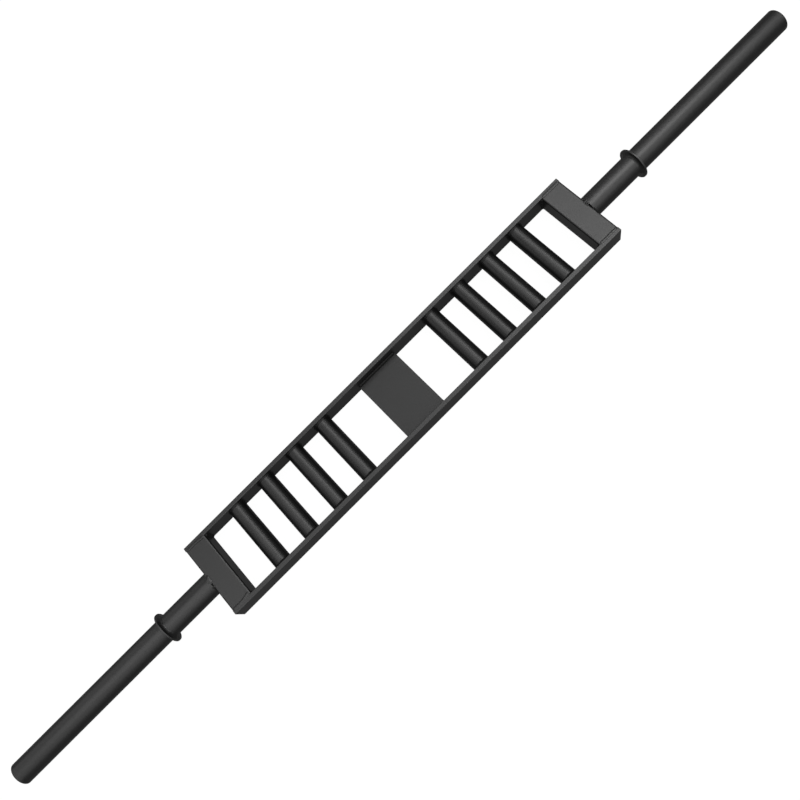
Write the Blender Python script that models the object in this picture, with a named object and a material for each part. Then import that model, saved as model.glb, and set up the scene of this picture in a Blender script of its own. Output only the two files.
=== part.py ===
"""A swiss bar: a welded multi-grip barbell with neutral handles between two rails.

The bar's axis is X. The rails lie to its front (-Y) and rear (+Y), and +Z is up.
The origin is the middle of the bar, on the axis of its sleeves.
Lengths are in metres. Every piece is a separate object under the empty "swiss_bar".
"""

import math

import bmesh
import bpy

MM = 0.001

# Frame, from the middle outwards: plate, hand gap, handles, hand gap, end box
PLATE_LENGTH = 101 * MM
PLATE_TO_HANDLE_GAP = 85 * MM
HANDLE_GAP = 42.8 * MM
HANDLE_TO_BOX_GAP = 61.8 * MM
HANDLES_PER_SIDE = 4
GRIP_LENGTH = 155 * MM

# Side rails: flat steel bar on edge
RAIL_HEIGHT = 45 * MM
RAIL_THICKNESS = 9.5 * MM
RAIL_EDGE_RADIUS = 1 * MM

# End boxes: rectangular tube, as tall as the rails
BOX_WIDTH = 50.8 * MM
BOX_WALL = 3 * MM
BOX_CORNER_RADIUS = 4 * MM
BOX_BORE_RADIUS = 1 * MM

# Handles: round tube
HANDLE_DIAMETER = 38 * MM
HANDLE_WALL = 3 * MM

# Centre plate: flat plate set down between the rails
PLATE_THICKNESS = 6 * MM
PLATE_DEPTH = 25 * MM
PLATE_EDGE_RADIUS = 0.8 * MM

# Sleeves: round tube from the end box to the tip, with a ring that stops the weights
SLEEVE_DIAMETER = 50 * MM
SLEEVE_WALL = 4 * MM
SLEEVE_TIP_RADIUS = 0.8 * MM
NECK_LENGTH = 126.8 * MM
LOADABLE_LENGTH = 407.5 * MM
COLLAR_DIAMETER = 70 * MM
COLLAR_THICKNESS = 4 * MM
COLLAR_EDGE_RADIUS = 0.8 * MM
PLUG_THICKNESS = 6 * MM
PLUG_RECESS = 0.5 * MM
PLUG_EDGE_RADIUS = 0.6 * MM

# Fillet welds: the length of their legs, and how far their face bows out, as a share of a leg
HANDLE_WELD_LEG = 3 * MM
SLEEVE_WELD_LEG = 5 * MM
COLLAR_WELD_LEG = 3.5 * MM
PLATE_WELD_LEG = 3.8 * MM
CORNER_WELD_LEG = 4 * MM
WELD_BOW = 0.58
PLATE_WELD_INSET = 1 * MM

# Where a sleeve stands above the box, its weld thins out, and laps over the box's edge
SLEEVE_WELD_LOW = 1 * MM
SLEEVE_WELD_LAP = 4 * MM
SLEEVE_WELD_CREST = 1.2 * MM
SLEEVE_WELD_SPREAD = 1.6

# Flat seam welds over the joints between boxes and rails
SEAM_WIDTH = 5 * MM
SEAM_HEIGHT = 1 * MM

# The gap that two touching pieces keep
CLEARANCE = 0.3 * MM

# How finely round shapes are cut, and the angle past which an edge is shaded sharp
TUBE_STEPS = 48
HANDLE_STEPS = 32
EDGE_STEPS = 2
CORNER_STEPS = 3
SEAM_STEPS = 4
SHARP_ANGLE = math.radians(35)

# Black powder coat, as a grey and a roughness: flat stock, round tube, welds, plugs
STOCK_COAT = (0.015, 0.42)
TUBE_COAT = (0.014, 0.38)
WELD_COAT = (0.017, 0.42)
PLUG_PLASTIC = (0.02, 0.5)

# Places that follow from the sizes above
HANDLE_RADIUS = HANDLE_DIAMETER / 2
SLEEVE_RADIUS = SLEEVE_DIAMETER / 2
RAIL_TOP = RAIL_HEIGHT / 2
RAIL_INNER_Y = GRIP_LENGTH / 2
SPAN_LENGTH = GRIP_LENGTH - 2 * CLEARANCE
FIRST_HANDLE_X = PLATE_LENGTH / 2 + PLATE_TO_HANDLE_GAP + HANDLE_RADIUS
HANDLE_PITCH = HANDLE_DIAMETER + HANDLE_GAP
LAST_HANDLE_X = FIRST_HANDLE_X + (HANDLES_PER_SIDE - 1) * HANDLE_PITCH
BOX_INNER_X = LAST_HANDLE_X + HANDLE_RADIUS + HANDLE_TO_BOX_GAP
BOX_MIDDLE_X = BOX_INNER_X + BOX_WIDTH / 2
BOX_OUTER_X = BOX_INNER_X + BOX_WIDTH
COLLAR_INNER_X = BOX_OUTER_X + NECK_LENGTH
COLLAR_OUTER_X = COLLAR_INNER_X + COLLAR_THICKNESS
TIP_X = COLLAR_OUTER_X + LOADABLE_LENGTH
PLATE_TOP = RAIL_TOP - PLATE_DEPTH
PLATE_BOTTOM = PLATE_TOP - PLATE_THICKNESS

SIDES = {"left": -1, "right": 1}
RAILS = {"front": -1, "rear": 1}


def clear_scene():
    for old in list(bpy.data.objects):
        bpy.data.objects.remove(old, do_unlink=True)


def coating(name, look):
    """A plain coat of one grey and one roughness, with no metal showing."""
    grey, roughness = look
    material = bpy.data.materials.new(name)
    material.use_nodes = True
    shader = material.node_tree.nodes["Principled BSDF"]
    shader.inputs["Base Color"].default_value = (grey, grey, grey, 1)
    shader.inputs["Roughness"].default_value = roughness
    shader.inputs["Metallic"].default_value = 0
    material.diffuse_color = (grey, grey, grey, 1)
    return material


def place(name, mesh, material, parent, location=(0, 0, 0), turn=(0, 0, 0)):
    """Puts a piece in the scene. Pieces of one kind share a mesh and its material."""
    if not mesh.materials:
        mesh.materials.append(material)
    piece = bpy.data.objects.new(name, mesh)
    bpy.context.scene.collection.objects.link(piece)
    piece.parent = parent
    piece.location = location
    piece.rotation_euler = turn
    return piece


def finish_mesh(name, work):
    """Turns the working faces outwards and makes them a mesh with smooth rounds."""
    bmesh.ops.recalc_face_normals(work, faces=work.faces)
    mesh = bpy.data.meshes.new(name)
    work.to_mesh(mesh)
    work.free()
    mesh.shade_smooth()
    mesh.set_sharp_from_angle(angle=SHARP_ANGLE)
    return mesh


def arc(centre, radius, start, end, steps):
    """Points on an arc, from the angle start to the angle end, both in degrees."""
    points = []
    for step in range(steps + 1):
        angle = math.radians(start + (end - start) * step / steps)
        points.append((centre[0] + radius * math.cos(angle), centre[1] + radius * math.sin(angle)))
    return points


def turned_rings(work, section, steps):
    """Sets a section of (along, radius) points round X, once for each step.

    The section is a function of the angle from +Y. A flat facet faces straight down.
    """
    rings = []
    for step in range(steps):
        angle = 2 * math.pi * (step + 0.5) / steps - math.pi / 2
        rings.append([
            work.verts.new((along, radius * math.cos(angle), radius * math.sin(angle)))
            for along, radius in section(angle)
        ])
    return rings


def turned_ring(name, section, steps):
    """Turns a closed section about X into a ring or a tube."""
    work = bmesh.new()
    rings = turned_rings(work, section, steps)
    for ring, following in zip(rings, rings[1:] + rings[:1]):
        for index in range(len(ring)):
            after = (index + 1) % len(ring)
            work.faces.new((ring[index], following[index], following[after], ring[after]))
    bmesh.ops.triangulate(work, faces=work.faces)
    return finish_mesh(name, work)


def turned_disc(name, section, steps):
    """Turns an open section about X, and closes it with a flat face at each end."""
    work = bmesh.new()
    rings = turned_rings(work, section, steps)
    for ring, following in zip(rings, rings[1:] + rings[:1]):
        for index in range(len(ring) - 1):
            work.faces.new((ring[index], following[index], following[index + 1], ring[index + 1]))
    work.faces.new([ring[0] for ring in rings])
    work.faces.new([ring[-1] for ring in reversed(rings)])
    return finish_mesh(name, work)


def extruded(name, outline, length):
    """Pushes a closed outline of (y, z) points along X, half its length each way."""
    work = bmesh.new()
    near = [work.verts.new((-length / 2, y, z)) for y, z in outline]
    far = [work.verts.new((length / 2, y, z)) for y, z in outline]
    for index in range(len(outline)):
        after = (index + 1) % len(outline)
        work.faces.new((near[index], near[after], far[after], far[index]))
    work.faces.new(list(reversed(near)))
    work.faces.new(far)
    return finish_mesh(name, work)


def rounded_block(name, size, radius):
    """A block with its edges rounded over."""
    work = bmesh.new()
    bmesh.ops.create_cube(work, size=1)
    bmesh.ops.scale(work, vec=size, verts=work.verts)
    bmesh.ops.bevel(
        work, geom=work.edges[:], offset=radius, segments=EDGE_STEPS, profile=0.5, affect="EDGES")
    return finish_mesh(name, work)


def rounded_rectangle(width, height, radius):
    """The outline of a rectangle with round corners, anticlockwise."""
    across = width / 2 - radius
    up = height / 2 - radius
    points = []
    points += arc((across, up), radius, 0, 90, CORNER_STEPS)
    points += arc((-across, up), radius, 90, 180, CORNER_STEPS)
    points += arc((-across, -up), radius, 180, 270, CORNER_STEPS)
    points += arc((across, -up), radius, 270, 360, CORNER_STEPS)
    return points


def box_tube(name, length):
    """A length of rectangular tube along Y, open at both ends."""
    outer = rounded_rectangle(BOX_WIDTH, RAIL_HEIGHT, BOX_CORNER_RADIUS)
    inner = rounded_rectangle(BOX_WIDTH - 2 * BOX_WALL, RAIL_HEIGHT - 2 * BOX_WALL, BOX_BORE_RADIUS)
    work = bmesh.new()
    near = -length / 2
    far = length / 2
    loops = []
    for outline, y in ((outer, near), (outer, far), (inner, far), (inner, near)):
        loops.append([work.verts.new((x, y, z)) for x, z in outline])
    for loop, following in zip(loops, loops[1:] + loops[:1]):
        for index in range(len(loop)):
            after = (index + 1) % len(loop)
            work.faces.new((loop[index], loop[after], following[after], following[index]))
    return finish_mesh(name, work)


def fillet_outline(leg):
    """The section of a fillet weld: two straight legs and a bowed face, clear of both pieces."""
    near = CLEARANCE
    far = CLEARANCE + leg
    bow = CLEARANCE + WELD_BOW * leg
    return [(near, near), (far, near), (bow, bow), (near, far)]


def seam_outline():
    """The section of a flat seam weld: a low crown over the joint."""
    half = SEAM_WIDTH / 2
    radius = (half ** 2 + SEAM_HEIGHT ** 2) / (2 * SEAM_HEIGHT)
    reach = math.degrees(math.asin(half / radius))
    centre = (0, CLEARANCE + SEAM_HEIGHT - radius)
    return arc(centre, radius, 90 - reach, 90 + reach, SEAM_STEPS)


def add_rails(parent):
    coat = coating("rail_coat", STOCK_COAT)
    size = (2 * BOX_OUTER_X, RAIL_THICKNESS, RAIL_HEIGHT)
    mesh = rounded_block("side_rail", size, RAIL_EDGE_RADIUS)
    for rail, way in RAILS.items():
        y = way * (RAIL_INNER_Y + RAIL_THICKNESS / 2)
        place(f"side_rail_{rail}", mesh, coat, parent, (0, y, 0))


def add_end_boxes(parent):
    coat = coating("box_coat", STOCK_COAT)
    mesh = box_tube("end_box", SPAN_LENGTH)
    for side, way in SIDES.items():
        place(f"end_box_{side}", mesh, coat, parent, (way * BOX_MIDDLE_X, 0, 0))


def add_centre_plate(parent):
    coat = coating("plate_coat", STOCK_COAT)
    size = (PLATE_LENGTH, SPAN_LENGTH, PLATE_THICKNESS)
    mesh = rounded_block("centre_plate", size, PLATE_EDGE_RADIUS)
    place("centre_plate", mesh, coat, parent, (0, 0, (PLATE_TOP + PLATE_BOTTOM) / 2))


def add_handles(parent, weld_coat):
    """Each handle is turned about X and then laid along Y, with a weld at each rail."""
    coat = coating("handle_coat", TUBE_COAT)
    half = SPAN_LENGTH / 2
    bore = HANDLE_RADIUS - HANDLE_WALL
    tube = [(-half, bore), (half, bore), (half, HANDLE_RADIUS), (-half, HANDLE_RADIUS)]
    ring = [(along, HANDLE_RADIUS + out) for along, out in fillet_outline(HANDLE_WELD_LEG)]
    handle = turned_ring("handle", lambda angle: tube, HANDLE_STEPS)
    weld = turned_ring("handle_weld", lambda angle: ring, HANDLE_STEPS)
    for side, way in SIDES.items():
        for index in range(HANDLES_PER_SIDE):
            name = f"handle_{side}_{index + 1}"
            x = way * (FIRST_HANDLE_X + index * HANDLE_PITCH)
            place(name, handle, coat, parent, (x, 0, 0), (0, 0, math.pi / 2))
            for rail, rail_way in RAILS.items():
                place(
                    f"{name}_weld_{rail}", weld, weld_coat, parent,
                    (x, rail_way * RAIL_INNER_Y, 0), (0, 0, -rail_way * math.pi / 2))


def sleeve_section():
    """The sleeve tube's section, along X from the end box to a rounded tip."""
    bore = SLEEVE_RADIUS - SLEEVE_WALL
    start = BOX_OUTER_X + CLEARANCE
    centre = (TIP_X - SLEEVE_TIP_RADIUS, SLEEVE_RADIUS - SLEEVE_TIP_RADIUS)
    tip = arc(centre, SLEEVE_TIP_RADIUS, 90, 0, CORNER_STEPS)
    return [(start, bore), (start, SLEEVE_RADIUS)] + tip + [(TIP_X, bore)]


def collar_section():
    """The ring's section: a washer with its rim rounded on both sides."""
    bore = SLEEVE_RADIUS + CLEARANCE
    rim = COLLAR_DIAMETER / 2 - COLLAR_EDGE_RADIUS
    first = arc((COLLAR_INNER_X + COLLAR_EDGE_RADIUS, rim), COLLAR_EDGE_RADIUS, 180, 90, EDGE_STEPS)
    second = arc((COLLAR_OUTER_X - COLLAR_EDGE_RADIUS, rim), COLLAR_EDGE_RADIUS, 90, 0, EDGE_STEPS)
    return [(COLLAR_INNER_X, bore)] + first + second + [(COLLAR_OUTER_X, bore)]


def plug_section():
    """The plug's section: a disc inside the tube, just short of the tip."""
    radius = SLEEVE_RADIUS - SLEEVE_WALL - CLEARANCE
    face = TIP_X - PLUG_RECESS
    corner = (face - PLUG_EDGE_RADIUS, radius - PLUG_EDGE_RADIUS)
    return [(face - PLUG_THICKNESS, radius)] + arc(corner, PLUG_EDGE_RADIUS, 90, 0, EDGE_STEPS)


def root_weld_section(angle):
    """The section of the weld at a sleeve's root, at an angle round the sleeve.

    Beside the sleeve it is a plain fillet on the box's face. Towards the top and the bottom
    the face runs out, so the leg on it shortens. Where the sleeve stands above the box, the
    weld's toe laps over the box's edge instead, and rests on the box's top.
    """
    face = BOX_OUTER_X + CLEARANCE
    root = SLEEVE_RADIUS + CLEARANCE
    rise = abs(math.sin(angle))
    leg = SLEEVE_WELD_LEG
    if rise * (root + leg) > RAIL_TOP:
        leg = max(RAIL_TOP / rise - root, SLEEVE_WELD_LOW)
    proud = rise * root - (RAIL_TOP + CLEARANCE)
    share = min(max(SLEEVE_WELD_SPREAD * proud / SLEEVE_WELD_LAP, 0), 1)
    toe_x = face - share * SLEEVE_WELD_LAP
    toe_radius = root + leg
    if share > 0:
        toe_radius = (1 - share) * toe_radius + share * (RAIL_TOP + CLEARANCE) / rise
    crest_x = face + (1 - share) * WELD_BOW * SLEEVE_WELD_LEG
    crest_radius = root + (1 - share) * WELD_BOW * leg + share * SLEEVE_WELD_CREST
    return [(face, root), (face + SLEEVE_WELD_LEG, root), (crest_x, crest_radius), (toe_x, toe_radius)]


def add_sleeves(parent, weld_coat):
    """Both sleeves are made at +X. The left one is turned half round Z."""
    ring = [
        (COLLAR_INNER_X - along, SLEEVE_RADIUS + out)
        for along, out in fillet_outline(COLLAR_WELD_LEG)
    ]
    tube = turned_ring("sleeve_tube", lambda angle: sleeve_section(), TUBE_STEPS)
    collar = turned_ring("collar_ring", lambda angle: collar_section(), TUBE_STEPS)
    plug = turned_disc("sleeve_plug", lambda angle: plug_section(), TUBE_STEPS)
    root_weld = turned_ring("sleeve_weld", root_weld_section, TUBE_STEPS)
    collar_weld = turned_ring("collar_weld", lambda angle: ring, TUBE_STEPS)
    tube_coat = coating("sleeve_coat", TUBE_COAT)
    collar_coat = coating("collar_coat", STOCK_COAT)
    plastic = coating("plug_plastic", PLUG_PLASTIC)
    for side, way in SIDES.items():
        turn = (0, 0, 0 if way > 0 else math.pi)
        place(f"sleeve_tube_{side}", tube, tube_coat, parent, turn=turn)
        place(f"collar_ring_{side}", collar, collar_coat, parent, turn=turn)
        place(f"sleeve_plug_{side}", plug, plastic, parent, turn=turn)
        place(f"sleeve_weld_{side}", root_weld, weld_coat, parent, turn=turn)
        place(f"collar_weld_{side}", collar_weld, weld_coat, parent, turn=turn)


def add_seam_welds(parent, weld_coat):
    """A flat seam over and under each end of each box."""
    mesh = extruded("seam_weld", seam_outline(), BOX_WIDTH - 2 * BOX_CORNER_RADIUS)
    for side, way in SIDES.items():
        for rail, rail_way in RAILS.items():
            x = way * BOX_MIDDLE_X
            y = rail_way * RAIL_INNER_Y
            place(f"seam_weld_{side}_{rail}_top", mesh, weld_coat, parent, (x, y, RAIL_TOP))
            place(
                f"seam_weld_{side}_{rail}_bottom", mesh, weld_coat, parent,
                (x, y, -RAIL_TOP), (math.pi, 0, 0))


def add_corner_welds(parent, weld_coat):
    """A fillet up each inner corner of the frame, stood on end and turned into its corner."""
    mesh = extruded(
        "corner_weld", fillet_outline(CORNER_WELD_LEG), RAIL_HEIGHT - 2 * BOX_CORNER_RADIUS)
    quarter_turns = {(1, -1): 0, (1, 1): 1, (-1, 1): 2, (-1, -1): 3}
    for side, way in SIDES.items():
        for rail, rail_way in RAILS.items():
            turn = quarter_turns[way, rail_way] * math.pi / 2
            place(
                f"corner_weld_{side}_{rail}", mesh, weld_coat, parent,
                (way * BOX_INNER_X, rail_way * RAIL_INNER_Y, 0), (0, -math.pi / 2, turn))


def add_plate_welds(parent, weld_coat):
    """A fillet along each end of the centre plate, above it and below it."""
    mesh = extruded(
        "plate_weld", fillet_outline(PLATE_WELD_LEG), PLATE_LENGTH - 2 * PLATE_WELD_INSET)
    for rail, way in RAILS.items():
        y = way * RAIL_INNER_Y
        top_turn = 0 if way < 0 else math.pi / 2
        bottom_turn = -math.pi / 2 if way < 0 else math.pi
        place(
            f"plate_weld_{rail}_top", mesh, weld_coat, parent, (0, y, PLATE_TOP), (top_turn, 0, 0))
        place(
            f"plate_weld_{rail}_bottom", mesh, weld_coat, parent,
            (0, y, PLATE_BOTTOM), (bottom_turn, 0, 0))


def build():
    clear_scene()
    bar = bpy.data.objects.new("swiss_bar", None)
    bpy.context.scene.collection.objects.link(bar)
    weld_coat = coating("weld_coat", WELD_COAT)
    add_rails(bar)
    add_end_boxes(bar)
    add_centre_plate(bar)
    add_handles(bar, weld_coat)
    add_sleeves(bar, weld_coat)
    add_seam_welds(bar, weld_coat)
    add_corner_welds(bar, weld_coat)
    add_plate_welds(bar, weld_coat)


build()
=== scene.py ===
# %% [markdown]
# # A swiss bar in black powder coat
# A swiss bar is a barbell that is held palm to palm. Eight short tubes, the grips, cross between
# two flat rails, and a tube sleeve with a stop ring leaves each end to carry the weight plates.
# It is all steel, welded up and then coated black in one go. So its looks come from three
# things: small even rounds on every edge, weld beads that were laid by hand, and one satin coat.
# The CAD model fixes every size. This lesson gives each of its pieces a finer skin and a finish.

import bmesh
import bpy
import numpy as np
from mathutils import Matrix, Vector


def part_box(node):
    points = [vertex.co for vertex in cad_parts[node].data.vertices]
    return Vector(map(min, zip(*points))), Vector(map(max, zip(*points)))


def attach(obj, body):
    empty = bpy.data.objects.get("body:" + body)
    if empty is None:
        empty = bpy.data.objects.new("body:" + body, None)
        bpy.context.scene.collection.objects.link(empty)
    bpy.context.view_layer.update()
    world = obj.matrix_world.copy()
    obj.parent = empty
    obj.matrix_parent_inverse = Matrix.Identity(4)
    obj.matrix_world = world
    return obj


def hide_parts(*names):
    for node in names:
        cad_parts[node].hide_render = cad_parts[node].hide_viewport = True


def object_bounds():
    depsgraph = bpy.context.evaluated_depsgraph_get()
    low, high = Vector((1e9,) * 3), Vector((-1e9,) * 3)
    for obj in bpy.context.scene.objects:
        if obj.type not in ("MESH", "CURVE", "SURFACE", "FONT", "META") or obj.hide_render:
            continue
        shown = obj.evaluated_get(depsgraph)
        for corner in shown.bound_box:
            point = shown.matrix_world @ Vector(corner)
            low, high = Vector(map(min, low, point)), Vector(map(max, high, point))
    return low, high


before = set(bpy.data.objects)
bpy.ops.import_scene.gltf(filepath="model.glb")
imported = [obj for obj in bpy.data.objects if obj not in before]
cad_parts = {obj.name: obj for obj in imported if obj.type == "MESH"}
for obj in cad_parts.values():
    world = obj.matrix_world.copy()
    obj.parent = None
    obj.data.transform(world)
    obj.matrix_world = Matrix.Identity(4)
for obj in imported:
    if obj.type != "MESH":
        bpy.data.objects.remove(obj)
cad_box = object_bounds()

MM = 0.001
collection = bpy.context.scene.collection
print("CAD nodes:", len(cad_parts))
print("CAD size in mm:", [round((high - low) / MM, 1) for low, high in zip(*cad_box)])

# %% [markdown]
# ## Camera
# The photograph looks down on the bar from in front, about 20 degrees off straight down, and the
# camera is turned so that the bar runs from corner to corner. Its place was found by matching
# the bar's edges to the picture: about 1.6 m away, with a 36 mm lens on a 36 mm wide sensor.

# %% Camera
CAMERA_PLACE = (-0.026, -0.53757, 1.5092)
CAMERA_TURN = (14.397, 13.1814, -43.3215)
CAMERA_LENS = 36.0443
CAMERA_SENSOR = 36

view = bpy.data.cameras.new("camera")
view.lens = CAMERA_LENS
view.sensor_width = CAMERA_SENSOR
camera = bpy.data.objects.new("camera", view)
camera.location = CAMERA_PLACE
camera.rotation_euler = np.radians(CAMERA_TURN)
collection.objects.link(camera)
bpy.context.scene.camera = camera
print("camera height in m:", CAMERA_PLACE[2])

# %% [markdown]
# ## Light
# A satin black shows its surroundings more than its own colour, so the lamps are placed by what
# the coat mirrors. Eight soft panels hang over the bar at different heights and face down.
# Between them they draw the streak along each grip and each sleeve, and they give the flat tops
# their grey. Three pale cards stand low around the bar and lift the sides of the tubes a little.
# All else is dim, which keeps the far flanks nearly black, as they are in the photograph. The
# panels were fitted: what such a coat mirrors was worked out at many spots of the bar for one
# set of sizes, places and strengths after another, and compared with the photograph.

# %% Lamps
DOWN = (0, 0, 0)
PANELS = {
    "over_the_bar": ((-0.50, 1.28, 4.49), (2.50, 1.45), 2.40),
    "over_the_right": ((1.46, 2.30, 4.50), (2.18, 1.32), 4.04),
    "right": ((2.38, 0.08, 4.50), (2.42, 2.54), 5.48),
    "left": ((-2.55, 0.08, 4.49), (3.15, 3.30), 2.00),
    "front_right": ((0.89, -3.26, 2.59), (4.93, 5.00), 1.74),
    "front_left": ((-2.66, -2.78, 2.11), (3.06, 4.37), 0.97),
    "back_left": ((-2.78, 3.07, 1.70), (3.18, 4.48), 0.88),
    "back_right": ((2.29, 2.86, 2.31), (0.70, 3.77), 2.02),
}
CARD_PLACE = 4.0
CARD_HEIGHT = 0.7
CARD_SIZE = (6.0, 1.2)
CARD_TILT = -90
CARDS = {"front": (180, 0.60), "back": (0, 0.42), "left": (90, 0.11)}


def add_lamp(name, place, turn, size, radiance):
    """A flat lamp that shines along its own -Z. Its power is radiance x pi x area."""
    lamp = bpy.data.lights.new(name, "AREA")
    lamp.shape = "RECTANGLE"
    lamp.size, lamp.size_y = size
    lamp.energy = radiance * np.pi * size[0] * size[1]
    holder = bpy.data.objects.new(name, lamp)
    holder.location = place
    holder.rotation_euler = np.radians(turn)
    holder.visible_camera = False
    collection.objects.link(holder)
    return holder


for name, (spot, size, radiance) in PANELS.items():
    add_lamp(f"panel_{name}", spot, DOWN, size, radiance)
for name, (azimuth, radiance) in CARDS.items():
    away = (-CARD_PLACE * np.sin(np.radians(azimuth)), CARD_PLACE * np.cos(np.radians(azimuth)))
    turn = (CARD_TILT, 0, azimuth)
    add_lamp(f"card_{name}", (*away, CARD_HEIGHT), turn, CARD_SIZE, radiance)
print("panels:", len(PANELS), "cards:", len(CARDS))

# %% [markdown]
# ## Background
# The background is plain white, without light being spent on it. Light Path tells a ray that
# comes straight from the camera, or through glass, from one that a surface sent out, and only
# the first kinds meet full white. A mirrored ray meets a share of it: the room that this bar
# mirrors was dim below the lamps. The floor is pale and takes light as well, so the bar's soft
# shadow still falls on it.

# %% World and floor
ROOM = 0.1
ROOM_MIRRORED = 0.03
FLOOR_MIRRORED = 0.12
FLOOR_GREY = 0.05
FLOOR_GLOW = 0.97
FLOOR_WIDTH = 30.0


def maths(tree, operation, first, second, third=None):
    """A Math node. Each value is a number or a socket."""
    node = tree.nodes.new("ShaderNodeMath")
    node.operation = operation
    for slot, value in enumerate((first, second, third)):
        if isinstance(value, bpy.types.NodeSocket):
            tree.links.new(value, node.inputs[slot])
        elif value is not None:
            node.inputs[slot].default_value = value
    return node.outputs[0]


def white_share(tree, mirrored):
    """1 for rays from the camera and through glass, the given share for mirrored ones, else 0."""
    ray = tree.nodes.new("ShaderNodeLightPath").outputs
    seen = maths(tree, "MAXIMUM", ray["Is Camera Ray"], ray["Is Transmission Ray"])
    return maths(tree, "MAXIMUM", seen, maths(tree, "MULTIPLY", ray["Is Glossy Ray"], mirrored))


world = bpy.data.worlds.new("room")
world.use_nodes = True
bpy.context.scene.world = world
tree = world.node_tree
tree.nodes.clear()
dim = tree.nodes.new("ShaderNodeBackground")
dim.inputs["Color"].default_value = (ROOM, ROOM, ROOM, 1)
white = tree.nodes.new("ShaderNodeBackground")
white.inputs["Color"].default_value = (1, 1, 1, 1)
mix = tree.nodes.new("ShaderNodeMixShader")
tree.links.new(white_share(tree, ROOM_MIRRORED), mix.inputs["Fac"])
tree.links.new(dim.outputs[0], mix.inputs[1])
tree.links.new(white.outputs[0], mix.inputs[2])
tree.links.new(mix.outputs[0], tree.nodes.new("ShaderNodeOutputWorld").inputs["Surface"])

paper = bpy.data.materials.new("floor_paper")
paper.use_nodes = True
tree = paper.node_tree
tree.nodes.clear()
matt = tree.nodes.new("ShaderNodeBsdfDiffuse")
matt.inputs["Color"].default_value = (FLOOR_GREY, FLOOR_GREY, FLOOR_GREY, 1)
glow = tree.nodes.new("ShaderNodeEmission")
glow.inputs["Color"].default_value = (FLOOR_GLOW, FLOOR_GLOW, FLOOR_GLOW, 1)
tree.links.new(white_share(tree, FLOOR_MIRRORED), glow.inputs["Strength"])
both = tree.nodes.new("ShaderNodeAddShader")
tree.links.new(matt.outputs[0], both.inputs[0])
tree.links.new(glow.outputs[0], both.inputs[1])
tree.links.new(both.outputs[0], tree.nodes.new("ShaderNodeOutputMaterial").inputs["Surface"])

floor_height = cad_box[0][2]
corners = FLOOR_WIDTH / 2 * np.array([(-1, -1), (1, -1), (1, 1), (-1, 1)])
sheet = bpy.data.meshes.new("floor")
sheet.from_pydata([(x, y, floor_height) for x, y in corners.tolist()], [], [(0, 1, 2, 3)])
sheet.materials.append(paper)
floor = bpy.data.objects.new("floor", sheet)
collection.objects.link(floor)
bpy.context.scene.view_settings.view_transform = "Standard"
print("floor height in mm:", round(floor_height / MM, 1))

# %% [markdown]
# ## The coat
# Powder coat is plastic that was sprayed on dry and melted in an oven. It flows out almost flat and
# keeps a faint dimple, called orange peel. Its gloss is uneven by a few parts in a hundred, and it
# draws thin over sharp edges, where it shines a little more. Its colour there is set a little
# lighter, partly for the thinner coat and partly as a painted highlight along the edge. One node
# group holds all of this, so that flat bar, tube, ring and weld can each use it with their own
# values.

# %% The coat as a node group
def noise(tree, vector, scale, detail):
    """A soft three-dimensional noise, as its output socket. Scale is in patches per metre."""
    node = tree.nodes.new("ShaderNodeTexNoise")
    node.inputs["Scale"].default_value = scale
    node.inputs["Detail"].default_value = detail
    tree.links.new(vector, node.inputs["Vector"])
    return node.outputs["Fac"]


PEEL_PATCHES = 420
PEEL_DETAIL = 1.5
CLOUD_PATCHES = 26
CLOUD_DETAIL = 4
MIDDLE = 0.5
COAT_INPUTS = {
    "Colour": ("NodeSocketColor", (0.02, 0.02, 0.02, 1)),
    # Lighter on rounded edges: partly a thinner coat, partly a painted highlight.
    "Edge Colour With Highlight": ("NodeSocketColor", (0.03, 0.03, 0.03, 1)),
    "Roughness": ("NodeSocketFloat", 0.4),
    "Gloss Spread": ("NodeSocketFloat", 0.1),
    "Edge Gloss": ("NodeSocketFloat", 0.06),
}
COAT_OUTPUTS = {
    "Colour": "NodeSocketColor",
    "Roughness": "NodeSocketFloat",
    "Height": "NodeSocketFloat",
}


def build_powder_coat():
    """Colour, roughness and height of a powder coat.
    Roughness = the given one + spread x (cloud - half) - edge gloss x edge mark. Colour goes from
    the given one towards the edge's by half the edge mark + cloud - half."""
    group = bpy.data.node_groups.new("powder_coat", "ShaderNodeTree")
    for name, (kind, value) in COAT_INPUTS.items():
        made = group.interface.new_socket(name=name, in_out="INPUT", socket_type=kind)
        made.default_value = value
    for name, kind in COAT_OUTPUTS.items():
        group.interface.new_socket(name=name, in_out="OUTPUT", socket_type=kind)
    given = group.nodes.new("NodeGroupInput")
    made = group.nodes.new("NodeGroupOutput")
    place = group.nodes.new("ShaderNodeTexCoord").outputs["Object"]
    edge = group.nodes.new("ShaderNodeAttribute")
    edge.attribute_name = "edge"
    rim = edge.outputs["Fac"]
    cloud = maths(group, "SUBTRACT", noise(group, place, CLOUD_PATCHES, CLOUD_DETAIL), MIDDLE)
    rough = maths(group, "MULTIPLY_ADD", cloud, given.outputs["Gloss Spread"],
                  given.outputs["Roughness"])
    gained = maths(group, "MULTIPLY", rim, given.outputs["Edge Gloss"])
    group.links.new(maths(group, "SUBTRACT", rough, gained), made.inputs["Roughness"])
    # Partly painted highlight: rounded edges go towards the lighter edge colour, which also stands
    # for a thinner coat.
    tone = group.nodes.new("ShaderNodeMix")
    tone.data_type = "RGBA"
    edge_tone_and_highlight = maths(group, "ADD", maths(group, "MULTIPLY", rim, MIDDLE), cloud)
    group.links.new(edge_tone_and_highlight, tone.inputs["Factor"])
    group.links.new(given.outputs["Colour"], tone.inputs["A"])
    group.links.new(given.outputs["Edge Colour With Highlight"], tone.inputs["B"])
    group.links.new(tone.outputs["Result"], made.inputs["Colour"])
    group.links.new(noise(group, place, PEEL_PATCHES, PEEL_DETAIL), made.inputs["Height"])
    return group


powder_coat = build_powder_coat()
print("node group:", powder_coat.name)
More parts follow.
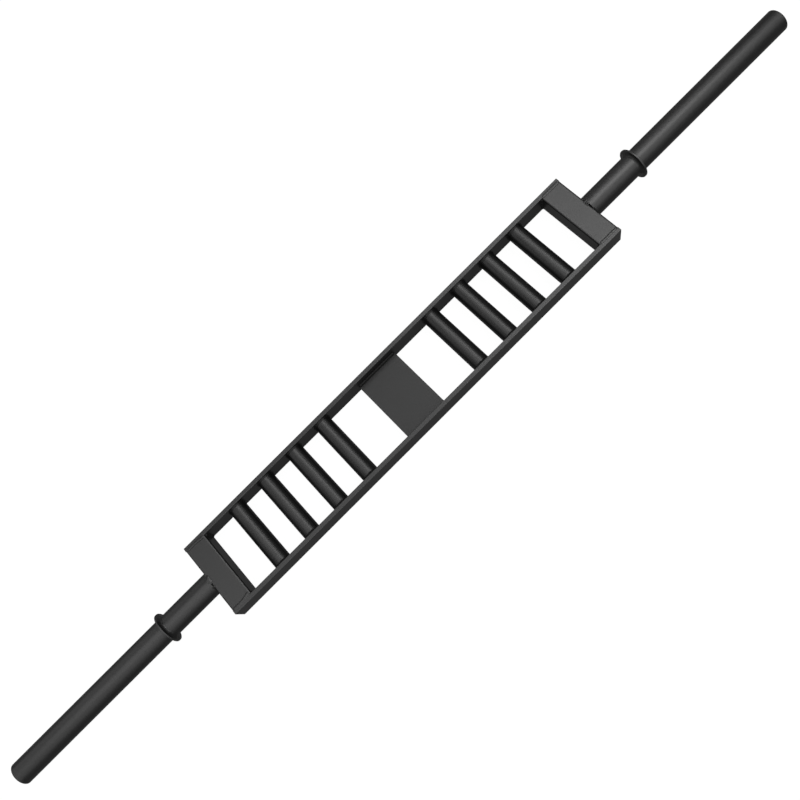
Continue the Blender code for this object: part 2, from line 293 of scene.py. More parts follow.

# %% [markdown]
# ## Finishes
# Every finish is the same black, but not the same surface. Rolled flat bar stays smooth under the
# coat, and on the plate it came out duller. The grips are rubbed smooth by hands, which narrows the
# streak along them. The coat pools between the ripples of a weld. Beads and turns deep in a corner
# take a finish that is a shade darker and mirrors less: that is painted shade, where little light
# reaches. The share of light that a finish mirrors is the value named shine. The plugs that close
# the tubes are plain moulded plastic. Each value sits on the shader's own socket or reaches it
# through the group above, and the dimples go in as height through a Bump node.

# %% Finishes
COAT_INDEX = 1.5
FULL_SHINE = 0.5
PEEL_DEPTH = 0.02 * MM
FINISHES = {
    "frame_coat": dict(grey=0.004, edge=0.010, rough=0.37, spread=0.08, gloss=0.05, bump=0.2),
    "plate_coat": dict(grey=0.006, edge=0.012, rough=0.48, spread=0.08, gloss=0.04, bump=0.2,
                       shine=0.42),
    "handle_coat": dict(grey=0.003, edge=0.010, rough=0.30, spread=0.05, gloss=0.05, bump=0.2,
                        shine=0.42),
    "sleeve_coat": dict(grey=0.003, edge=0.010, rough=0.37, spread=0.05, gloss=0.06, bump=0.2),
    # Painted light: the ring's grey is set lighter than the rest of the same black coat, so that
    # its faces read brighter.
    "collar_coat": dict(grey=0.010, edge=0.010, rough=0.37, spread=0.06, gloss=0.08, bump=0.2),
    "weld_coat": dict(grey=0.003, edge=0.010, rough=0.36, spread=0.10, gloss=0.06, bump=0.3),
    # Painted shade: darker and mirroring less, for the beads and turns that lie in shadow.
    "painted_shade_coat": dict(grey=0.002, edge=0.006, rough=0.40, spread=0.10, gloss=0.04, bump=0.3,
                        shine=0.2),
    "plug_plastic": dict(grey=0.020, edge=0.030, rough=0.50, spread=0.06, gloss=0.08, bump=0.1),
}


def build_finish(name, grey, edge, rough, spread, gloss, bump, shine=FULL_SHINE):
    """A material whose shader takes colour, roughness and height from the powder coat group."""
    finish = bpy.data.materials.new(name)
    finish.use_nodes = True
    tree = finish.node_tree
    shader = tree.nodes["Principled BSDF"]
    shader.inputs["IOR"].default_value = COAT_INDEX
    shader.inputs["Specular IOR Level"].default_value = shine
    shader.inputs["Metallic"].default_value = 0
    coat = tree.nodes.new("ShaderNodeGroup")
    coat.node_tree = powder_coat
    coat.inputs["Colour"].default_value = (grey, grey, grey, 1)
    coat.inputs["Edge Colour With Highlight"].default_value = (edge, edge, edge, 1)
    coat.inputs["Roughness"].default_value = rough
    coat.inputs["Gloss Spread"].default_value = spread
    coat.inputs["Edge Gloss"].default_value = gloss
    dimples = tree.nodes.new("ShaderNodeBump")
    dimples.inputs["Strength"].default_value = bump
    dimples.inputs["Distance"].default_value = PEEL_DEPTH
    tree.links.new(coat.outputs["Colour"], shader.inputs["Base Color"])
    tree.links.new(coat.outputs["Roughness"], shader.inputs["Roughness"])
    tree.links.new(coat.outputs["Height"], dimples.inputs["Height"])
    tree.links.new(dimples.outputs["Normal"], shader.inputs["Normal"])
    finish.diffuse_color = (grey, grey, grey, 1)
    return finish


finishes = {name: build_finish(name, **values) for name, values in FINISHES.items()}
print("finishes:", ", ".join(finishes))

# %% [markdown]
# ## Outlines with soft corners
# No edge of a steel section is sharp, and a coated one less so. A light line runs along each
# edge of the real bar, because a small round turns through every direction and one of them
# meets the lamp. A Bevel modifier could round a plain block, but here one function rounds any
# outline before it is pushed, turned or carried along. It also marks where the rounds are, and
# the coat's node group reads that mark as the edge.

# %% Soft outlines
ARC_STEPS = 6
HOLD = 0.5 * MM


def unit(vectors):
    """Each vector divided by its own length."""
    return vectors / np.linalg.norm(vectors, axis=-1, keepdims=True)


def soft_outline(corners, radii, steps=ARC_STEPS, hold=HOLD):
    """A closed outline with its corners rounded, as points and as an edge mark for each.
    Each side is cut back from a corner by radius x tan(half the turn). The arc between is
    centre + radius x (cos, sin) of an angle that goes evenly from one side to the other. One
    more point is set on each side, just past the arc, so that the flat stays flat."""
    corners = np.asarray(corners, float)
    radii = np.broadcast_to(radii, len(corners))[:, None]
    into = unit(corners - np.roll(corners, 1, axis=0))
    out = np.roll(into, -1, axis=0)
    swing = into[:, :1] * out[:, 1:] - into[:, 1:] * out[:, :1]
    turn = np.arctan2(swing, (into * out).sum(axis=1, keepdims=True))
    cut = radii * np.tan(np.abs(turn) / 2)
    start = corners - into * cut
    end = corners + out * cut
    left = np.stack([-into[:, 1], into[:, 0]], axis=1)
    centre = start + np.sign(turn) * left * radii
    first = np.arctan2(start[:, 1:] - centre[:, 1:], start[:, :1] - centre[:, :1])
    angles = first + turn * np.linspace(0, 1, steps + 1)
    arcs = centre[:, None] + radii[:, None] * np.stack([np.cos(angles), np.sin(angles)], axis=2)
    before = (start - into * hold)[:, None]
    after = (end + out * hold)[:, None]
    outline = np.concatenate([before, arcs, after], axis=1).reshape(-1, 2)
    mark = np.ones((len(corners), steps + 3))
    mark[:, [0, -1]] = 0
    return outline, mark.reshape(-1)


def soft_rectangle(half_width, half_height, radius):
    """A rectangle's soft outline about its middle, anticlockwise."""
    signs = np.array([(1, 1), (-1, 1), (-1, -1), (1, -1)])
    return soft_outline(signs * (half_width, half_height), radius)


print("points in a soft rectangle:", len(soft_rectangle(1, 1, HOLD)[0]))

# %% [markdown]
# ## From a grid of points to a piece
# Each shape below is a grid: rows along the piece, columns round it. Four neighbours in the grid
# make one face. A tube with a bore is closed both ways, like a ring, and a solid bar gets a flat
# face at each end. The sign of the volume tells if the faces point outwards. Then the piece is
# tied to the body that it moves with, to the CAD node that it stands for, and to its slot. Some
# strips of faces may take the dull finish, where the coat lies thin.

# %% Skins and pieces
SHARP_TURN = np.radians(50)


def skin(name, grid, mark=None, ring=True):
    """A mesh from a grid of rows x columns x 3. Its columns meet round; its rows too in a ring.
    The mark is 1 on rounded edges and 0 elsewhere, in any shape that spreads over the grid."""
    rows, columns = grid.shape[:2]
    index = np.arange(rows * columns).reshape(rows, columns)
    beside = np.roll(index, -1, axis=1)
    beyond = np.roll(index, -1, axis=0)
    quads = np.stack([index, beside, np.roll(beside, -1, axis=0), beyond], axis=2)
    if ring:
        faces = quads.reshape(-1, 4).tolist()
    else:
        faces = quads[:-1].reshape(-1, 4).tolist()
        faces += [index[0, ::-1].tolist(), index[-1].tolist()]
    mesh = bpy.data.meshes.new(name)
    mesh.from_pydata(grid.reshape(-1, 3).tolist(), [], faces)
    measure = bmesh.new()
    measure.from_mesh(mesh)
    volume = measure.calc_volume(signed=True)
    measure.free()
    if volume < 0:
        mesh.flip_normals()
    if mark is not None:
        edge = mesh.attributes.new("edge", "FLOAT", "POINT")
        spread = np.broadcast_to(mark, (rows, columns)).astype(np.float32)
        edge.data.foreach_set("value", spread.reshape(-1))
    mesh.shade_smooth()
    mesh.set_sharp_from_angle(angle=SHARP_TURN)
    return mesh


def add_piece(name, mesh, slot, node, finish=None):
    """Puts a mesh in the scene in place of a CAD node, with its slot's finish or a finer one."""
    mesh.materials.append(finishes[finish or slot])
    piece = bpy.data.objects.new(name, mesh)
    collection.objects.link(piece)
    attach(piece, "root")
    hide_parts(node)
    return piece


def paint_shade_on_strips(mesh, columns, strips):
    """Gives the painted shade finish, darker and mirroring less, to some strips of a skin's faces.
    Face n of a grid lies in the strip n modulo columns. The two flat ends of a solid bar come last
    and keep the first finish."""
    mesh.materials.append(finishes["painted_shade_coat"])
    number = np.arange(len(mesh.polygons))
    in_grid = number < len(number) // columns * columns
    # Painted shade: these faces take the darker finish that mirrors less.
    shaded_faces = np.isin(number % columns, strips) & in_grid
    mesh.polygons.foreach_set("material_index", shaded_faces.astype(np.int32))


SIDES = {"left": -1, "right": 1}
RAILS = {"front": -1, "rear": 1}
print("sides:", *SIDES, "and rails:", *RAILS)

# %% [markdown]
# ## Rails and centre plate
# The rails are flat bar stood on edge, and the plate is flat bar laid low between them. Both are
# one outline pushed along X. To round the ends as well, the outline draws in by radius x
# (1 - cosine) while it goes forward by radius x sine, like the rim of a pill.

# %% Rails and plate
RAIL_ROUND = 1.0 * MM
PLATE_ROUND = 0.8 * MM
LEAST_ROUND = 0.05


def rounded_bar(low, high, radius):
    """A solid bar between two corners, with all its edges rounded, as a grid and its mark.
    Towards each end the outline's half sizes shrink by radius x (1 - cos a), and X moves by
    radius x sin a, for a from 0 to a quarter turn."""
    middle = (low + high) / 2
    half = (high - low) / 2
    angles = np.linspace(0, np.pi / 2, ARC_STEPS + 1)
    inset = np.concatenate([[0], radius * (1 - np.cos(angles))])
    reach = np.concatenate([[half[0] - radius - HOLD], half[0] - radius * (1 - np.sin(angles))])
    inset = np.concatenate([inset[::-1], inset])
    reach = np.concatenate([-reach[::-1], reach])
    round_left = np.maximum(radius - inset, LEAST_ROUND * radius)
    grid = []
    for x, draw, corner in zip(reach, inset, round_left):
        outline, mark = soft_rectangle(half[1] - draw, half[2] - draw, corner)
        grid.append(np.column_stack([np.full(len(outline), x), outline]))
    ends = (inset > 0).astype(float)[:, None]
    return np.array(grid) + middle, np.maximum(mark, ends)


def add_bar(name, node, radius, finish=None):
    """A rounded bar from corner to corner of a CAD node's box, as a piece."""
    low, high = np.array(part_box(node))
    grid, mark = rounded_bar(low, high, radius)
    return add_piece(name, skin(name, grid, mark, ring=False), "frame_coat", node, finish)


for rail in RAILS:
    piece = add_bar(f"rail_{rail}", f"side_rail_{rail}", RAIL_ROUND)
    print(piece.name, "faces:", len(piece.data.polygons))
add_bar("plate", "centre_plate", PLATE_ROUND, "plate_coat")

# %% [markdown]
# ## End boxes
# Each end box is a short length of rectangular tube that lies across the rails' ends. Its corners
# are rounder outside than inside, because the tube was rolled from strip. The skin runs along the
# outside, turns in over the cut end, comes back through the bore and closes on itself. The lower
# half of the turn above each inner side takes the darker finish that mirrors less, as painted
# shade, and shows as a fine dark line under the top's edge.

# %% End boxes
BOX_WALL = 3.0 * MM
BOX_ROUND = 4.0 * MM
BORE_ROUND = 1.0 * MM
CUT_ROUND = 0.3 * MM
CORNER_COLUMNS = ARC_STEPS + 3
HALF_TURN = CORNER_COLUMNS // 2
# The columns of the turn above each inner side that are given painted shade.
PAINTED_SHADE_TURNS = {
    "left": range(HALF_TURN),
    "right": range(2 * CORNER_COLUMNS - 1 - HALF_TURN, 2 * CORNER_COLUMNS - 1),
}


def box_tube(low, high):
    """A rectangular tube along Y, as a grid and its mark. The wall's own outline is (along Y, how
    far in from the outside), and at each of its points stands a soft rectangle, drawn in that
    far. Its corner radius goes evenly from the outer one to the bore's."""
    middle = (low + high) / 2
    half = (high - low) / 2
    corners = [(-half[1], 0), (half[1], 0), (half[1], BOX_WALL), (-half[1], BOX_WALL)]
    wall, cut_mark = soft_outline(corners, CUT_ROUND)
    grid = []
    for y, inset in wall:
        corner = np.interp(inset, (0, BOX_WALL), (BOX_ROUND, BORE_ROUND))
        outline, mark = soft_rectangle(half[0] - inset, half[2] - inset, corner)
        grid.append(np.column_stack([outline[:, 0], np.full(len(outline), y), outline[:, 1]]))
    return np.array(grid) + middle, np.maximum(mark, cut_mark[:, None])


for side in SIDES:
    node = f"end_box_{side}"
    grid, mark = box_tube(*np.array(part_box(node)))
    piece = add_piece(f"box_{side}", skin(node, grid, mark), "frame_coat", node)
    # Painted shade: a fine dark line under the inner top edge.
    paint_shade_on_strips(piece.data, grid.shape[1], PAINTED_SHADE_TURNS[side])
    print(piece.name, "faces:", len(piece.data.polygons))

# %% [markdown]
# ## Round pieces
# Grips, sleeves, rings and plugs are all turned shapes. A soft outline of the wall, as distance
# along the axis and distance from it, is carried round in a circle. The same function lays the
# axis along X for the sleeves or along Y for the grips.

# %% Turned shapes
def turned(outline, count, axis=0, centre=(0, 0, 0)):
    """Carries an outline of (along, radius) points round an axis, as a grid of count rows.
    A point at the angle t is (along, radius x cos t, radius x sin t), with X and Y swapped
    where the axis is Y."""
    angles = 2 * np.pi * np.arange(count)[:, None] / count
    along, radius = outline.T
    grid = np.stack([
        np.broadcast_to(along, (count, len(along))),
        radius * np.cos(angles),
        radius * np.sin(angles),
    ], axis=2)
    if axis == 1:
        grid = grid[:, :, [1, 0, 2]]
    return grid + np.asarray(centre)


GRIPS_A_SIDE = 4
GRIP_ROUNDS = 96
GRIP_RADIUS = 19.0 * MM
GRIP_WALL = 3.0 * MM


def grip_outline(half):
    """The section of a grip's wall: a long thin rectangle from bore to outside."""
    bore = GRIP_RADIUS - GRIP_WALL
    corners = [(-half, bore), (half, bore), (half, GRIP_RADIUS), (-half, GRIP_RADIUS)]
    return soft_outline(corners, CUT_ROUND)


grip_places = {}
for side in SIDES:
    for number in range(1, GRIPS_A_SIDE + 1):
        node = f"handle_{side}_{number}"
        low, high = np.array(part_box(node))
        middle = (low + high) / 2
        outline, mark = grip_outline((high - low)[1] / 2)
        grid = turned(outline, GRIP_ROUNDS, axis=1, centre=middle)
        add_piece(f"grip_{side}_{number}", skin(node, grid, mark), "handle_coat", node)
        grip_places[side, number] = middle
print("grips:", len(grip_places))

# %% [markdown]
# ## Sleeves, rings and plugs
# A sleeve is one length of heavy tube from the end box to the tip. The tip is rounded over so
# that plates slide on without catching. The stop ring is a thick washer, rounded on both rims.
# The tip is shut by a pressed-in plastic plug with a shallow dish, so that it doesn't look like
# a flat lid.

# %% Sleeves, rings and plugs
SLEEVE_ROUNDS = 144
SLEEVE_WALL = 4.0 * MM
TIP_ROUND = 0.8 * MM
RING_ROUND = 0.9 * MM
SLEEVE_RADIUS = 25.0 * MM
BORE_TIP_ROUND = 0.6 * MM
PLUG_ROUND = 0.6 * MM
PLUG_DISH = 0.4 * MM
PLUG_RIM = 2.5 * MM
DISH_MIDDLE = 0.5 * MM
DISH_STEPS = 12


def sleeve_outline(start, tip):
    """The section of a sleeve's wall: a long thin rectangle, rounded more at the tip."""
    bore = SLEEVE_RADIUS - SLEEVE_WALL
    corners = [(start, bore), (start, SLEEVE_RADIUS), (tip, SLEEVE_RADIUS), (tip, bore)]
    return soft_outline(corners, (CUT_ROUND, CUT_ROUND, TIP_ROUND, BORE_TIP_ROUND))


def ring_outline(inner, outer, bore, rim):
    """The section of a stop ring: a rectangle, rounded more on the rim than in the bore."""
    corners = [(inner, bore), (inner, rim), (outer, rim), (outer, bore)]
    return soft_outline(corners, (CUT_ROUND, RING_ROUND, RING_ROUND, CUT_ROUND))


def plug_outline(back, face, radius):
    """Half of a plug's section, from its back round the rim and in to the middle.
    Inside the rim the face sinks into a dish by depth x (1 - (distance from axis / dish)^2)."""
    turn = np.linspace(np.pi / 2, 0, ARC_STEPS + 1)
    corner = np.array([face - PLUG_ROUND, radius - PLUG_ROUND])
    rim = corner + PLUG_ROUND * np.column_stack([np.cos(turn), np.sin(turn)])
    dish = radius - PLUG_RIM
    inward = np.linspace(dish, DISH_MIDDLE, DISH_STEPS)
    sunk = face - PLUG_DISH * (1 - (inward / dish) ** 2)
    back_edge = [(back, radius - PLUG_ROUND), (back + PLUG_ROUND, radius)]
    return np.concatenate([back_edge, rim, np.column_stack([sunk, inward])])


for side, way in SIDES.items():
    low, high = np.array(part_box(f"sleeve_tube_{side}"))
    ends = sorted(np.abs([low[0], high[0]]))
    outline, mark = sleeve_outline(*ends)
    grid = turned(outline * (way, 1), SLEEVE_ROUNDS)
    add_piece(f"sleeve_{side}", skin("sleeve", grid, mark), "sleeve_coat", f"sleeve_tube_{side}")

    low, high = np.array(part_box(f"collar_ring_{side}"))
    faces = sorted(np.abs([low[0], high[0]]))
    outline, mark = ring_outline(*faces, SLEEVE_RADIUS, high[2])
    grid = turned(outline * (way, 1), SLEEVE_ROUNDS)
    add_piece(f"ring_{side}", skin("ring", grid, mark), "collar_coat", f"collar_ring_{side}")

    low, high = np.array(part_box(f"sleeve_plug_{side}"))
    back, face = sorted(np.abs([low[0], high[0]]))
    outline = plug_outline(back, face, high[2])
    grid = turned(outline * (way, 1), SLEEVE_ROUNDS).transpose(1, 0, 2)
    add_piece(f"plug_{side}", skin("plug", grid, ring=False), "plug_plastic", f"sleeve_plug_{side}")
    print("sleeve", side, "from", round(ends[0] / MM, 1), "to", round(ends[1] / MM, 1), "mm")

# %% [markdown]
# ## Weld beads
# A weld is laid drop by drop, and each drop freezes as a crescent on the one before. So a bead
# has a row of crescents, toes that waver, and here and there a swelling where the hand slowed
# down. A bead along a straight corner bulges, and one round a tube is drawn up on both faces and
# stays hollow. The coat rounds all of it off. Waves of a few beats that start at drawn phases
# give the waver: it is the same on each run, and it closes on itself round a ring.

# %% What makes a bead look laid by hand
WAVE_BEATS = np.array([2, 5, 9, 16])
LEAST_WAVE = 0.5
DROP_LAG = 0.7
DROP_WAVER = 0.3
DROP_MIDDLE = 0.6


def waver(share, seed):
    """A smooth uneven run between about -1 and 1, for shares from 0 to 1 of a bead's length.
    It is a sum of sine waves. Each has its own number of beats, height and phase."""
    draw = np.random.default_rng(seed)
    count = len(WAVE_BEATS)
    heights = draw.uniform(LEAST_WAVE, 1, count) / np.sqrt(count)
    phases = draw.uniform(0, 2 * np.pi, count)
    return (np.sin(2 * np.pi * share[..., None] * WAVE_BEATS + phases) * heights).sum(axis=-1)


def crescents(share, across, drops, seed):
    """The drops of a bead: -0.6 in the valleys between them and 0.4 on their crests, which hardly
    changes the bead's size as a whole. It is |sin(pi x (drops x share + lag x (1 - (2 across
    - 1)^2)))| - 0.6. The lag sets the middle of each drop ahead of its ends, and a little waver
    makes the drops uneven."""
    ahead = DROP_LAG * (1 - (2 * across - 1) ** 2)
    phase = drops * share + ahead + DROP_WAVER * waver(share, seed)
    return np.abs(np.sin(np.pi * phase)) - DROP_MIDDLE


SINK = 0.25 * MM
FACE_STEPS = 10
CONVEX = 1.57
CONCAVE = 2.7
DROP_PITCH = 3.2 * MM
DROP_DEPTH = 0.16 * MM
TOE_WAVER = 0.10


def bead_sections(share, length, legs, seed, power=CONVEX):
    """Sections of a fillet bead, one for each share of its length: a grid of (first, second).
    The open face goes from the end of one leg to the end of the other as (leg x cos^p a, leg x
    sin^p a), for a from 0 to a quarter turn; a power p under 2 bulges and over 2 is hollow. The
    section swells with the waver and with the crescents. Its root lies just under both pieces."""
    drops = max(round(length / DROP_PITCH), 1)
    across = np.linspace(0, 1, FACE_STEPS + 1)
    angle = across * np.pi / 2
    share = share[:, None]
    drop = crescents(share, across, drops, seed)
    swell = 1 + TOE_WAVER * waver(share, seed + 1)
    swell = swell + DROP_DEPTH / min(legs) * drop * np.sin(np.pi * across)
    first = legs[0] * np.cos(angle) ** power * swell
    second = legs[1] * np.sin(angle) ** power * swell
    face = np.stack([first, second], axis=2)
    low_end = face[:, :1] * (1, 0) - (0, SINK)
    high_end = face[:, -1:] * (0, 1) - (SINK, 0)
    root = np.full_like(low_end, -SINK)
    return np.concatenate([face, high_end, root, low_end], axis=1)


print("drops round one grip:", round(2 * np.pi * GRIP_RADIUS / DROP_PITCH))

# %% [markdown]
# ## Beads round the grips and behind the rings
# These run in a circle, in the corner between a tube and a flat face. The section above is set at
# each angle: its first leg along the tube, its second out from it. Every bead has a seed of its
# own, so no two are alike. Those round the grips sit deep between the rails and take the painted
# shade finish, darker and mirroring less.

# %% Ring beads
BEAD_TURNS = 256
GRIP_LEGS = {"front": (4.6 * MM, 3.2 * MM), "rear": (4.6 * MM, 2.4 * MM)}
RING_LEGS = (5.5 * MM, 6.0 * MM)
CAD_GAP = 0.3 * MM
SEED_STEP = 2
RING_SEED = 100


def ring_bead(face, way, radius, legs, axis, centre, seed, power):
    """A bead round a tube of the given radius, against a flat face square to its axis.
    At the angle t, a section's point (a, b) lies at (face + way x a) along the axis and at
    radius + b from it."""
    share = np.arange(BEAD_TURNS) / BEAD_TURNS
    section = bead_sections(share, 2 * np.pi * radius, legs, seed, power)
    along = face + way * section[:, :, 0]
    out = radius + section[:, :, 1]
    turn = 2 * np.pi * share[:, None]
    grid = np.stack([along, out * np.cos(turn), out * np.sin(turn)], axis=2)
    if axis == 1:
        grid = grid[:, :, [1, 0, 2]]
    return grid + np.asarray(centre)


seed = RING_SEED
for (side, number), middle in grip_places.items():
    for rail, way in RAILS.items():
        node = f"handle_{side}_{number}_weld_{rail}"
        face = way * (np.abs(np.array(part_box(node))[:, 1]).max() + CAD_GAP)
        centre = (middle[0], 0, 0)
        seed += SEED_STEP
        grid = ring_bead(face, -way, GRIP_RADIUS, GRIP_LEGS[rail], 1, centre, seed, CONCAVE)
        name = f"grip_{side}_{number}_bead_{rail}"
        # Painted shade: the grip's beads take the darker finish that mirrors less.
        add_piece(name, skin(name, grid), "weld_coat", node, "painted_shade_coat")

for side, way in SIDES.items():
    ring_faces = np.abs(np.array(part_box(f"collar_ring_{side}"))[:, 0])
    seed += SEED_STEP
    face = way * ring_faces.min()
    grid = ring_bead(face, -way, SLEEVE_RADIUS, RING_LEGS, 0, (0, 0, 0), seed, CONCAVE)
    name = f"ring_bead_{side}"
    add_piece(name, skin(name, grid), "weld_coat", f"collar_weld_{side}")
print("ring beads:", (seed - RING_SEED) // SEED_STEP)

# %% [markdown]
# ## Straight fillets
# Four stand in the frame's inner corners, and four run along the plate's ends, above and below.
# The same sections are carried along a straight line, with their legs turned along the two faces
# they join. At each end the bead rounds off like a fingertip: its size falls as the square root of
# 1 - (way past the last full section)^2. They lie in corners too, so they take the painted shade
# finish.

# %% Straight beads
BEAD_PITCH = 0.6 * MM
TIP_LENGTH = 2.2 * MM
CORNER_LEGS = (4.2 * MM, 4.2 * MM)
PLATE_LEGS = (3.6 * MM, 4.2 * MM)
LEAST_TIP = 0.12
STRAIGHT_SEED = 300
LEVELS = {"top": 1, "bottom": -1}


def fingertip(run, length):
    """1 along a bead and down to a small share at its ends, as on a fingertip."""
    past = np.maximum(np.abs(run) - (length / 2 - TIP_LENGTH), 0) / TIP_LENGTH
    return np.maximum(np.sqrt(1 - np.minimum(past, 1) ** 2), LEAST_TIP)


def straight_bead(start, end, first_way, second_way, legs, seed):
    """A bead from start to end. A section's point (a, b) lies a along the first way and b along
    the second, and both shrink at the tips."""
    start, end = np.asarray(start, float), np.asarray(end, float)
    length = np.linalg.norm(end - start)
    count = int(length / BEAD_PITCH)
    share = np.linspace(0, 1, count)
    section = bead_sections(share, length, legs, seed)
    section = section * fingertip((share - MIDDLE) * length, length)[:, None, None]
    path = start + (end - start) * share[:, None, None]
    return (path + section[:, :, :1] * np.asarray(first_way)
            + section[:, :, 1:] * np.asarray(second_way))


def add_straight_bead(name, node, *where):
    """A straight bead as a piece, with the painted shade finish, darker and mirroring less."""
    mesh = skin(name, straight_bead(*where), ring=False)
    return add_piece(name, mesh, "weld_coat", node, "painted_shade_coat")


plate_low, plate_high = np.array(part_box("centre_plate"))
rail_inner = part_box("side_rail_rear")[0][1]
box_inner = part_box("end_box_right")[0][0]
corner_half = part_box("corner_weld_right_rear")[1][2]
plate_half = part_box("plate_weld_rear_top")[1][0]
plate_faces = {"top": plate_high[2], "bottom": plate_low[2]}
seed = STRAIGHT_SEED
for rail, rail_way in RAILS.items():
    y = rail_way * rail_inner
    for side, way in SIDES.items():
        x = way * box_inner
        seed += SEED_STEP
        add_straight_bead(
            f"corner_bead_{side}_{rail}", f"corner_weld_{side}_{rail}",
            (x, y, -corner_half), (x, y, corner_half), (-way, 0, 0), (0, -rail_way, 0),
            CORNER_LEGS, seed)
    for level, up in LEVELS.items():
        z = plate_faces[level]
        seed += SEED_STEP
        add_straight_bead(
            f"plate_bead_{rail}_{level}", f"plate_weld_{rail}_{level}",
            (-plate_half, y, z), (plate_half, y, z), (0, -rail_way, 0), (0, 0, up),
            PLATE_LEGS, seed)
print("straight beads:", (seed - STRAIGHT_SEED) // SEED_STEP)

# %% [markdown]
# ## Flat seams
# Over and under each end of a box, a low bead closes the joint between the box and the rail. It
# is steeper on the box's side, which draws a fine dark line along it, and runs out over the
# rail. On the left-hand box it was begun at the inner end, thick, and swings out over the box.
# The rear ones are flatter, and the first rows of faces along their toe take the darker finish that
# mirrors less, as a painted shade line.

# %% Seams
SEAM_PITCH = 0.4 * MM
SEAM_STEPS = 24
SEAM_DROPS = 11
SEAM_DEPTH = 0.08 * MM
SEAM_START = 13.0 * MM
SEAM_WAVER = 0.5 * MM
SEAM_UNEVEN = 0.12
# Rows of faces along a rear seam's toe that are given painted shade.
PAINTED_SHADE_TOE_STEPS = 5
SEAMS = {
    "front": dict(crest=-0.3 * MM, box=3.1 * MM, rail=4.6 * MM, height=1.10 * MM, power=1.0),
    "rear": dict(crest=0.7 * MM, box=3.6 * MM, rail=4.4 * MM, height=0.55 * MM, power=0.6),
}
SWINGS = {("left", "front"): 4.0 * MM, ("left", "rear"): 1.5 * MM}
SWELL = 0.3
SEAM_SEED = 500
SEAM_SEED_STEP = 4


def seam_bead(ends, y, way, up, level, seed, swing, crest, box, rail, height, power):
    """A low bead along X by the joint at y. Across it goes from -1, on the box, over its crest
    at 0 to 1, on the rail. The box's side has the height (1 - across^2)^power and the rail's
    side (1 + cos(pi across)) / 2. Near the first end it may be higher, with its crest swung over
    the box, both by e^-((distance / 13 mm)^2)."""
    length = abs(ends[1] - ends[0])
    share = np.linspace(0, 1, int(length / SEAM_PITCH))[:, None]
    across = np.linspace(-1, 1, SEAM_STEPS + 1)
    tip = fingertip((share - MIDDLE) * length, length)
    start = np.exp(-(share * length / SEAM_START) ** 2)
    drop = crescents(share, (across + 1) / 2, SEAM_DROPS, seed)
    steep = (1 - np.minimum(across, 0) ** 2) ** power
    gentle = (1 + np.cos(np.pi * np.maximum(across, 0))) / 2
    body = steep * gentle
    swell = SWELL * start * np.sign(swing)
    uneven = SEAM_UNEVEN * waver(share, seed + 1)
    tall = height * (1 + swell + uneven) + SEAM_DEPTH * drop
    box_side = box + SEAM_WAVER * waver(share, seed + 2)
    rail_side = rail + SEAM_WAVER * waver(share, seed + 3)
    offset = crest - swing * start + np.where(across < 0, across * box_side, across * rail_side)
    x = ends[0] + (ends[1] - ends[0]) * share + 0 * across
    top = np.stack([x, y + way * offset * tip, level + up * tall * body * tip], axis=2)
    under = top[:, [-1, 0]] * (1, 1, 0) + (0, 0, level - up * SINK)
    return np.concatenate([top, under], axis=1)


rail_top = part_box("side_rail_rear")[1][2]
seed = SEAM_SEED
for side, way in SIDES.items():
    for rail, rail_way in RAILS.items():
        for level, up in LEVELS.items():
            node = f"seam_weld_{side}_{rail}_{level}"
            inner, outer = sorted(np.abs(np.array(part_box(node))[:, 0]))
            ends = (way * (inner - SINK), way * (outer + 2 * SINK))
            seed += SEAM_SEED_STEP
            swing = SWINGS.get((side, rail), 0)
            grid = seam_bead(ends, rail_way * rail_inner, rail_way, up, up * rail_top, seed, swing,
                             **SEAMS[rail])
            name = f"seam_{side}_{rail}_{level}"
            seam = add_piece(name, skin(name, grid, ring=False), "weld_coat", node)
            # Painted shade: a dark line along the rear seams' toe.
            if rail == "rear":
                paint_shade_on_strips(seam.data, grid.shape[1], range(PAINTED_SHADE_TOE_STEPS))
print("seams:", (seed - SEAM_SEED) // SEAM_SEED_STEP)

# %% [markdown]
# ## The sleeve's root
# The sleeve is a little wider than the box is tall, so its crown stands above the box. Beside
# the sleeve the bead is a plain fillet on the box's face. At the crown there is no face left to
# weld to: the bead climbs over the box's rounded edge in a few lumps, and in between the cut end
# of the tube stays bare over a dark crevice.

# %% Root beads
ROOT_LEG = 2.4 * MM
ROOT_TURNS = 512
ROOT_POWER = 2.0
LAP_CREST = 0.9 * MM
LAPS = {"left": (2.2 * MM, 1.6 * MM), "right": (1.8 * MM, 0.4 * MM)}
BARE_HALF = 12.5 * MM
BARE_FADE = 2.0 * MM
LEAST_SECTION = 0.05
LEAST_RISE = 1e-6
LAP_POWER = 4
ROOT_DROPS = 0.06
ROOT_SEEDS = {"left": 690, "right": 710}
HUB = (0.5 * MM, -1.6 * MM)
LUMPS = {
    "left": [(3.0 * MM, 12.0 * MM)],
    "right": [(7.5 * MM, 2.4 * MM), (3.2 * MM, 2.2 * MM), (-1.2 * MM, 2.0 * MM)],
}


def covered(y, on_top, lumps):
    """How much of the full bead there is, from 0 to 1, at a distance y from the crown.
    Beside the crown it is 1, and it fades out smoothly over 2 mm. Over the crown each lump adds
    1 - ((y - middle) / half its width)^4, and under the box the bead is whole."""
    beside = np.clip((np.abs(y) - BARE_HALF) / BARE_FADE, 0, 1)
    beside = beside ** 2 * (3 - 2 * beside)
    lumped = [1 - ((y - middle) / half) ** LAP_POWER for middle, half in lumps]
    whole = np.clip(np.maximum.reduce([beside, *lumped]), 0, 1)
    return np.where(on_top, np.sqrt(whole), 1)


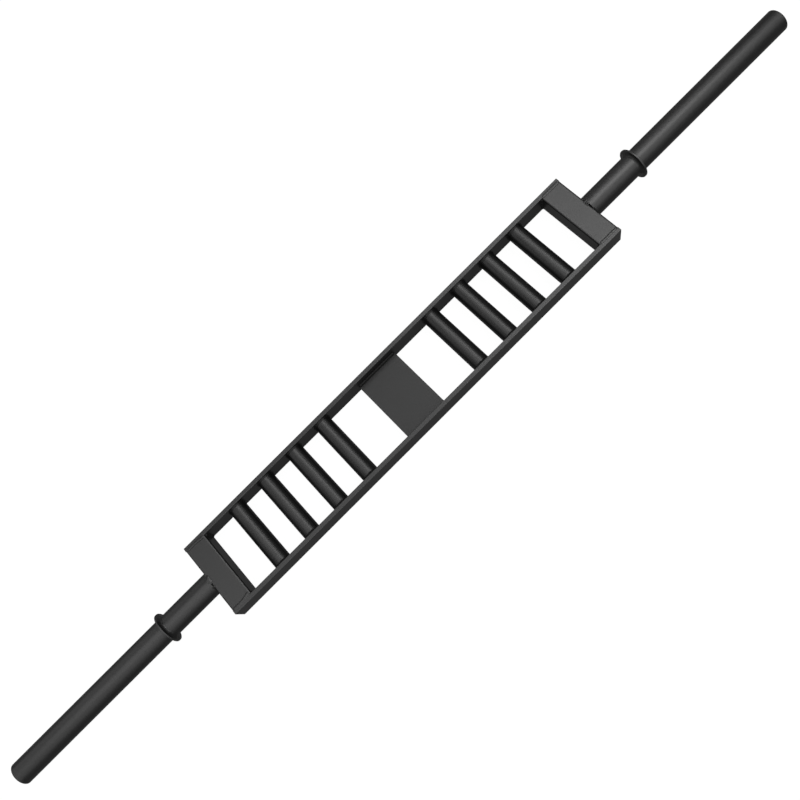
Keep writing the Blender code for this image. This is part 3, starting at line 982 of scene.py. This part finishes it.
def root_bead(face, lumps, lap_reach, lap_leg, seed):
    """The bead round a sleeve's root, at the right-hand box, as a grid.
    Its toe would stand one leg out from the sleeve. Where that is above the box's flat face, the
    toe lies on the box's rounded edge instead, at x = centre + sqrt(r^2 - (z - centre)^2), and
    past that on its top, which each lump covers a little further, and it runs further along the
    tube there. Where the bead is bare, its section shrinks into the tube's wall."""
    share = np.arange(ROOT_TURNS)[:, None] / ROOT_TURNS
    turn = 2 * np.pi * share
    across = np.linspace(0, 1, FACE_STEPS + 1)
    rise = np.maximum(np.abs(np.sin(turn)), LEAST_RISE)
    edge_start = rail_top - BOX_ROUND
    toe_height = np.minimum(rise * (SLEEVE_RADIUS + ROOT_LEG), rail_top)
    up_edge = np.maximum(toe_height - edge_start, 0)
    lap = up_edge / BOX_ROUND
    whole = covered(SLEEVE_RADIUS * np.cos(turn), np.sin(turn) > 0, lumps)
    over = whole * lap ** LAP_POWER
    toe_x = face - BOX_ROUND * (1 - np.sqrt(1 - lap ** 2)) - lap_reach * over
    toe_radius = toe_height / rise
    drops = round(2 * np.pi * SLEEVE_RADIUS / DROP_PITCH)
    drop = crescents(share, across, drops, seed)
    swell = 1 + TOE_WAVER * waver(share, seed + 1) + ROOT_DROPS * drop * np.sin(np.pi * across)
    angle = across * np.pi / 2
    tube_x = face + ROOT_LEG + lap_leg * over
    x = toe_x + (tube_x - toe_x) * np.cos(angle) ** ROOT_POWER * swell
    radius = SLEEVE_RADIUS + (toe_radius - SLEEVE_RADIUS) * np.sin(angle) ** ROOT_POWER * swell
    radius = radius + lap * LAP_CREST * np.sin(np.pi * across) * swell
    x = np.concatenate([x, toe_x, face + 0 * lap], axis=1)
    toe_under = np.minimum(toe_radius, radius[:, -1:]) - SINK
    radius = np.concatenate([radius, toe_under, SLEEVE_RADIUS - SINK + 0 * lap], axis=1)
    size = np.maximum(whole, LEAST_SECTION)
    hub_x = face + HUB[0]
    hub_radius = SLEEVE_RADIUS + HUB[1]
    x = hub_x + (x - hub_x) * size
    radius = hub_radius + (radius - hub_radius) * size
    return np.stack([x, radius * np.cos(turn), radius * np.sin(turn)], axis=2)


box_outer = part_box("end_box_right")[1][0]
for side, way in SIDES.items():
    grid = root_bead(box_outer, LUMPS[side], *LAPS[side], ROOT_SEEDS[side]) * (way, 1, 1)
    add_piece(f"root_bead_{side}", skin("root_bead", grid), "weld_coat", f"sleeve_weld_{side}")
print("root beads:", len(ROOT_SEEDS))
